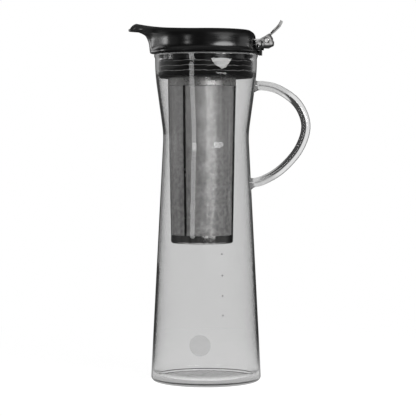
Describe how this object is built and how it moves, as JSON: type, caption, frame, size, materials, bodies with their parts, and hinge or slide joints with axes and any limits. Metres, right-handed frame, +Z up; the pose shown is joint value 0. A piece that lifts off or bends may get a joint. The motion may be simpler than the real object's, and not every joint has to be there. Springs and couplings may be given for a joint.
{
  "type": "cold brew coffee pitcher",
  "caption": "Tall tapered glass pitcher with a rod handle, a steel mesh strainer hung in its neck, and a black lid whose steel flap opens the pouring spout by a thumb lever.",
  "frame": {"origin": "centre of the glass foot, on the surface that the pitcher stands on", "axes": "+Z up along the pitcher's axis, +X towards the handle and the hinge, -X towards the spout, +Y across, square to the plane through the spout and the handle"},
  "size_m": [0.1486, 0.0896, 0.2926],
  "materials": {
    "glass": "clear blown glass",
    "plastic": "satin black, moulded",
    "silicone": "matt black silicone",
    "steel": "polished stainless sheet",
    "mesh": "fine stainless mesh"
  },
  "bodies": {
    "pitcher": {"glass_body": "glass", "glass_handle": "glass"},
    "strainer": {"strainer_collar": "plastic", "neck_gasket": "silicone", "strainer_rim": "steel", "strainer_mesh": "mesh", "strainer_seam": "steel", "strainer_cup": "steel", "strainer_floor": "mesh"},
    "lid": {"lid_body": "plastic", "hinge_bracket": "steel", "hinge_pin": "steel"},
    "flap": {"lid_flap": "steel", "thumb_lever": "steel", "flap_rivet_1": "steel", "flap_rivet_2": "steel"}
  },
  "joints": [
    {"name": "strainer_lift", "type": "slide", "parent": "pitcher", "child": "strainer", "axis": [0, 0, 1], "range_m": [0, 0.16]},
    {"name": "lid_lift", "type": "slide", "parent": "strainer", "child": "lid", "axis": [0, 0, 1], "range_m": [0, 0.06]},
    {"name": "flap_hinge", "type": "hinge", "parent": "lid", "child": "flap", "pos_m": [0.05, 0, 0.2761], "axis": [0, 1, 0], "range_deg": [0, 60]}
  ]
}
